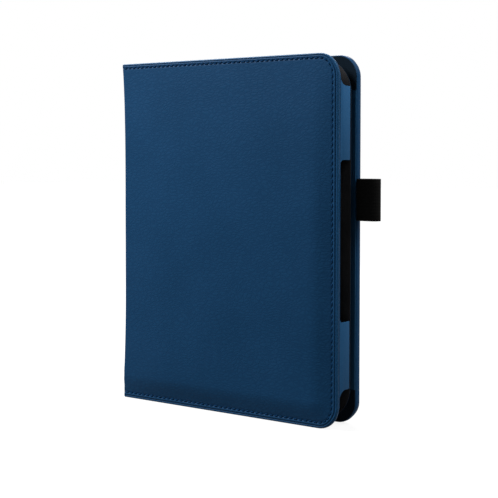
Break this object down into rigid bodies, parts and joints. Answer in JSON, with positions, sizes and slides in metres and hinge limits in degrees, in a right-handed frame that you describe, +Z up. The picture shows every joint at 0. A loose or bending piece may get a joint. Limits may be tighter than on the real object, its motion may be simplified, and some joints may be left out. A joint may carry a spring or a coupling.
{
  "type": "tablet keyboard case",
  "caption": "Stitched leather folio that closes like a book round a tablet sleeve and a slim keyboard, with a padded front cover and an elastic pen loop.",
  "frame": {"origin": "under the middle of the whole closed case, pen loop included, on the surface that it stands on", "axes": "+X from the spine to the fore-edge, -Y out of the front cover, +Z up along the spine"},
  "size_m": [0.1698, 0.024, 0.203],
  "materials": {
    "navy_leather": "navy blue synthetic leather with a fine pebble grain, low sheen",
    "sleeve_leather": "the same navy synthetic leather, smoother, on the sleeve",
    "black_lining": "black brushed microfibre",
    "grey_board": "grey binder's board",
    "foam": "thin polyurethane foam",
    "black_elastic": "black woven elastic",
    "deck_plastic": "black plastic, fine spark texture",
    "key_plastic": "black plastic, matt",
    "switch_rubber": "dark silicone",
    "battery_pouch": "silver laminate pouch",
    "circuit_laminate": "green glass-fibre laminate",
    "socket_steel": "plated steel"
  },
  "bodies": {
    "back_cover": {"back_cover_leather": "navy_leather", "back_cover_board": "grey_board", "back_cover_lining": "black_lining", "closure_magnets": "socket_steel", "pen_loop": "black_elastic", "keyboard_deck": "deck_plastic", "keyboard_base": "deck_plastic", "switch_membrane": "switch_rubber", "battery": "battery_pouch", "circuit_board": "circuit_laminate", "charging_socket": "socket_steel", "tablet_rest": "switch_rubber"},
    "spine": {"spine_leather": "navy_leather", "spine_board": "grey_board", "spine_lining": "black_lining"},
    "front_cover": {"front_cover_leather": "navy_leather", "front_cover_padding": "foam", "front_cover_board": "grey_board", "front_cover_lining": "black_lining", "sleeve_back_panel": "black_lining", "sleeve_walls": "sleeve_leather", "sleeve_bezel": "sleeve_leather", "bezel_magnets": "socket_steel"},
    "power_switch": {"power_switch": "key_plastic"},
    "key_q": {"key_q": "key_plastic"},
    "key_w": {"key_w": "key_plastic"},
    "key_e": {"key_e": "key_plastic"},
    "key_r": {"key_r": "key_plastic"},
    "key_t": {"key_t": "key_plastic"},
    "key_y": {"key_y": "key_plastic"},
    "key_u": {"key_u": "key_plastic"},
    "key_i": {"key_i": "key_plastic"},
    "key_o": {"key_o": "key_plastic"},
    "key_p": {"key_p": "key_plastic"},
    "key_a": {"key_a": "key_plastic"},
    "key_s": {"key_s": "key_plastic"},
    "key_d": {"key_d": "key_plastic"},
    "key_f": {"key_f": "key_plastic"},
    "key_g": {"key_g": "key_plastic"},
    "key_h": {"key_h": "key_plastic"},
    "key_j": {"key_j": "key_plastic"},
    "key_k": {"key_k": "key_plastic"},
    "key_l": {"key_l": "key_plastic"},
    "key_delete": {"key_delete": "key_plastic"},
    "key_shift": {"key_shift": "key_plastic"},
    "key_z": {"key_z": "key_plastic"},
    "key_x": {"key_x": "key_plastic"},
    "key_c": {"key_c": "key_plastic"},
    "key_v": {"key_v": "key_plastic"},
    "key_b": {"key_b": "key_plastic"},
    "key_n": {"key_n": "key_plastic"},
    "key_m": {"key_m": "key_plastic"},
    "key_enter": {"key_enter": "key_plastic"},
    "key_fn": {"key_fn": "key_plastic"},
    "key_ctrl": {"key_ctrl": "key_plastic"},
    "key_alt": {"key_alt": "key_plastic"},
    "key_space": {"key_space": "key_plastic"},
    "key_sym": {"key_sym": "key_plastic"},
    "key_left": {"key_left": "key_plastic"},
    "key_right": {"key_right": "key_plastic"}
  },
  "joints": [
    {"name": "back_crease", "type": "hinge", "parent": "back_cover", "child": "spine", "pos_m": [-0.0849, 0.012, 0], "axis": [0, 0, -1], "range_deg": [0, 90]},
    {"name": "front_crease", "type": "hinge", "parent": "spine", "child": "front_cover", "pos_m": [-0.0849, -0.0106, 0], "axis": [0, 0, -1], "range_deg": [0, 90]},
    {"name": "key_q_press", "type": "slide", "parent": "back_cover", "child": "key_q", "axis": [0, 1, 0], "range_m": [0, 0.0012], "stiffness_N_per_m": 300},
    {"name": "key_w_press", "type": "slide", "parent": "back_cover", "child": "key_w", "axis": [0, 1, 0], "range_m": [0, 0.0012], "stiffness_N_per_m": 300},
    {"name": "key_e_press", "type": "slide", "parent": "back_cover", "child": "key_e", "axis": [0, 1, 0], "range_m": [0, 0.0012], "stiffness_N_per_m": 300},
    {"name": "key_r_press", "type": "slide", "parent": "back_cover", "child": "key_r", "axis": [0, 1, 0], "range_m": [0, 0.0012], "stiffness_N_per_m": 300},
    {"name": "key_t_press", "type": "slide", "parent": "back_cover", "child": "key_t", "axis": [0, 1, 0], "range_m": [0, 0.0012], "stiffness_N_per_m": 300},
    {"name": "key_y_press", "type": "slide", "parent": "back_cover", "child": "key_y", "axis": [0, 1, 0], "range_m": [0, 0.0012], "stiffness_N_per_m": 300},
    {"name": "key_u_press", "type": "slide", "parent": "back_cover", "child": "key_u", "axis": [0, 1, 0], "range_m": [0, 0.0012], "stiffness_N_per_m": 300},
    {"name": "key_i_press", "type": "slide", "parent": "back_cover", "child": "key_i", "axis": [0, 1, 0], "range_m": [0, 0.0012], "stiffness_N_per_m": 300},
    {"name": "key_o_press", "type": "slide", "parent": "back_cover", "child": "key_o", "axis": [0, 1, 0], "range_m": [0, 0.0012], "stiffness_N_per_m": 300},
    {"name": "key_p_press", "type": "slide", "parent": "back_cover", "child": "key_p", "axis": [0, 1, 0], "range_m": [0, 0.0012], "stiffness_N_per_m": 300},
    {"name": "key_a_press", "type": "slide", "parent": "back_cover", "child": "key_a", "axis": [0, 1, 0], "range_m": [0, 0.0012], "stiffness_N_per_m": 300},
    {"name": "key_s_press", "type": "slide", "parent": "back_cover", "child": "key_s", "axis": [0, 1, 0], "range_m": [0, 0.0012], "stiffness_N_per_m": 300},
    {"name": "key_d_press", "type": "slide", "parent": "back_cover", "child": "key_d", "axis": [0, 1, 0], "range_m": [0, 0.0012], "stiffness_N_per_m": 300},
    {"name": "key_f_press", "type": "slide", "parent": "back_cover", "child": "key_f", "axis": [0, 1, 0], "range_m": [0, 0.0012], "stiffness_N_per_m": 300},
    {"name": "key_g_press", "type": "slide", "parent": "back_cover", "child": "key_g", "axis": [0, 1, 0], "range_m": [0, 0.0012], "stiffness_N_per_m": 300},
    {"name": "key_h_press", "type": "slide", "parent": "back_cover", "child": "key_h", "axis": [0, 1, 0], "range_m": [0, 0.0012], "stiffness_N_per_m": 300},
    {"name": "key_j_press", "type": "slide", "parent": "back_cover", "child": "key_j", "axis": [0, 1, 0], "range_m": [0, 0.0012], "stiffness_N_per_m": 300},
    {"name": "key_k_press", "type": "slide", "parent": "back_cover", "child": "key_k", "axis": [0, 1, 0], "range_m": [0, 0.0012], "stiffness_N_per_m": 300},
    {"name": "key_l_press", "type": "slide", "parent": "back_cover", "child": "key_l", "axis": [0, 1, 0], "range_m": [0, 0.0012], "stiffness_N_per_m": 300},
    {"name": "key_delete_press", "type": "slide", "parent": "back_cover", "child": "key_delete", "axis": [0, 1, 0], "range_m": [0, 0.0012], "stiffness_N_per_m": 300},
    {"name": "key_shift_press", "type": "slide", "parent": "back_cover", "child": "key_shift", "axis": [0, 1, 0], "range_m": [0, 0.0012], "stiffness_N_per_m": 300},
    {"name": "key_z_press", "type": "slide", "parent": "back_cover", "child": "key_z", "axis": [0, 1, 0], "range_m": [0, 0.0012], "stiffness_N_per_m": 300},
    {"name": "key_x_press", "type": "slide", "parent": "back_cover", "child": "key_x", "axis": [0, 1, 0], "range_m": [0, 0.0012], "stiffness_N_per_m": 300},
    {"name": "key_c_press", "type": "slide", "parent": "back_cover", "child": "key_c", "axis": [0, 1, 0], "range_m": [0, 0.0012], "stiffness_N_per_m": 300},
    {"name": "key_v_press", "type": "slide", "parent": "back_cover", "child": "key_v", "axis": [0, 1, 0], "range_m": [0, 0.0012], "stiffness_N_per_m": 300},
    {"name": "key_b_press", "type": "slide", "parent": "back_cover", "child": "key_b", "axis": [0, 1, 0], "range_m": [0, 0.0012], "stiffness_N_per_m": 300},
    {"name": "key_n_press", "type": "slide", "parent": "back_cover", "child": "key_n", "axis": [0, 1, 0], "range_m": [0, 0.0012], "stiffness_N_per_m": 300},
    {"name": "key_m_press", "type": "slide", "parent": "back_cover", "child": "key_m", "axis": [0, 1, 0], "range_m": [0, 0.0012], "stiffness_N_per_m": 300},
    {"name": "key_enter_press", "type": "slide", "parent": "back_cover", "child": "key_enter", "axis": [0, 1, 0], "range_m": [0, 0.0012], "stiffness_N_per_m": 300},
    {"name": "key_fn_press", "type": "slide", "parent": "back_cover", "child": "key_fn", "axis": [0, 1, 0], "range_m": [0, 0.0012], "stiffness_N_per_m": 300},
    {"name": "key_ctrl_press", "type": "slide", "parent": "back_cover", "child": "key_ctrl", "axis": [0, 1, 0], "range_m": [0, 0.0012], "stiffness_N_per_m": 300},
    {"name": "key_alt_press", "type": "slide", "parent": "back_cover", "child": "key_alt", "axis": [0, 1, 0], "range_m": [0, 0.0012], "stiffness_N_per_m": 300},
    {"name": "key_space_press", "type": "slide", "parent": "back_cover", "child": "key_space", "axis": [0, 1, 0], "range_m": [0, 0.0012], "stiffness_N_per_m": 300},
    {"name": "key_sym_press", "type": "slide", "parent": "back_cover", "child": "key_sym", "axis": [0, 1, 0], "range_m": [0, 0.0012], "stiffness_N_per_m": 300},
    {"name": "key_left_press", "type": "slide", "parent": "back_cover", "child": "key_left", "axis": [0, 1, 0], "range_m": [0, 0.0012], "stiffness_N_per_m": 300},
    {"name": "key_right_press", "type": "slide", "parent": "back_cover", "child": "key_right", "axis": [0, 1, 0], "range_m": [0, 0.0012], "stiffness_N_per_m": 300},
    {"name": "power_switch_slide", "type": "slide", "parent": "back_cover", "child": "power_switch", "axis": [0, 0, 1], "range_m": [0, 0.003]}
  ]
}
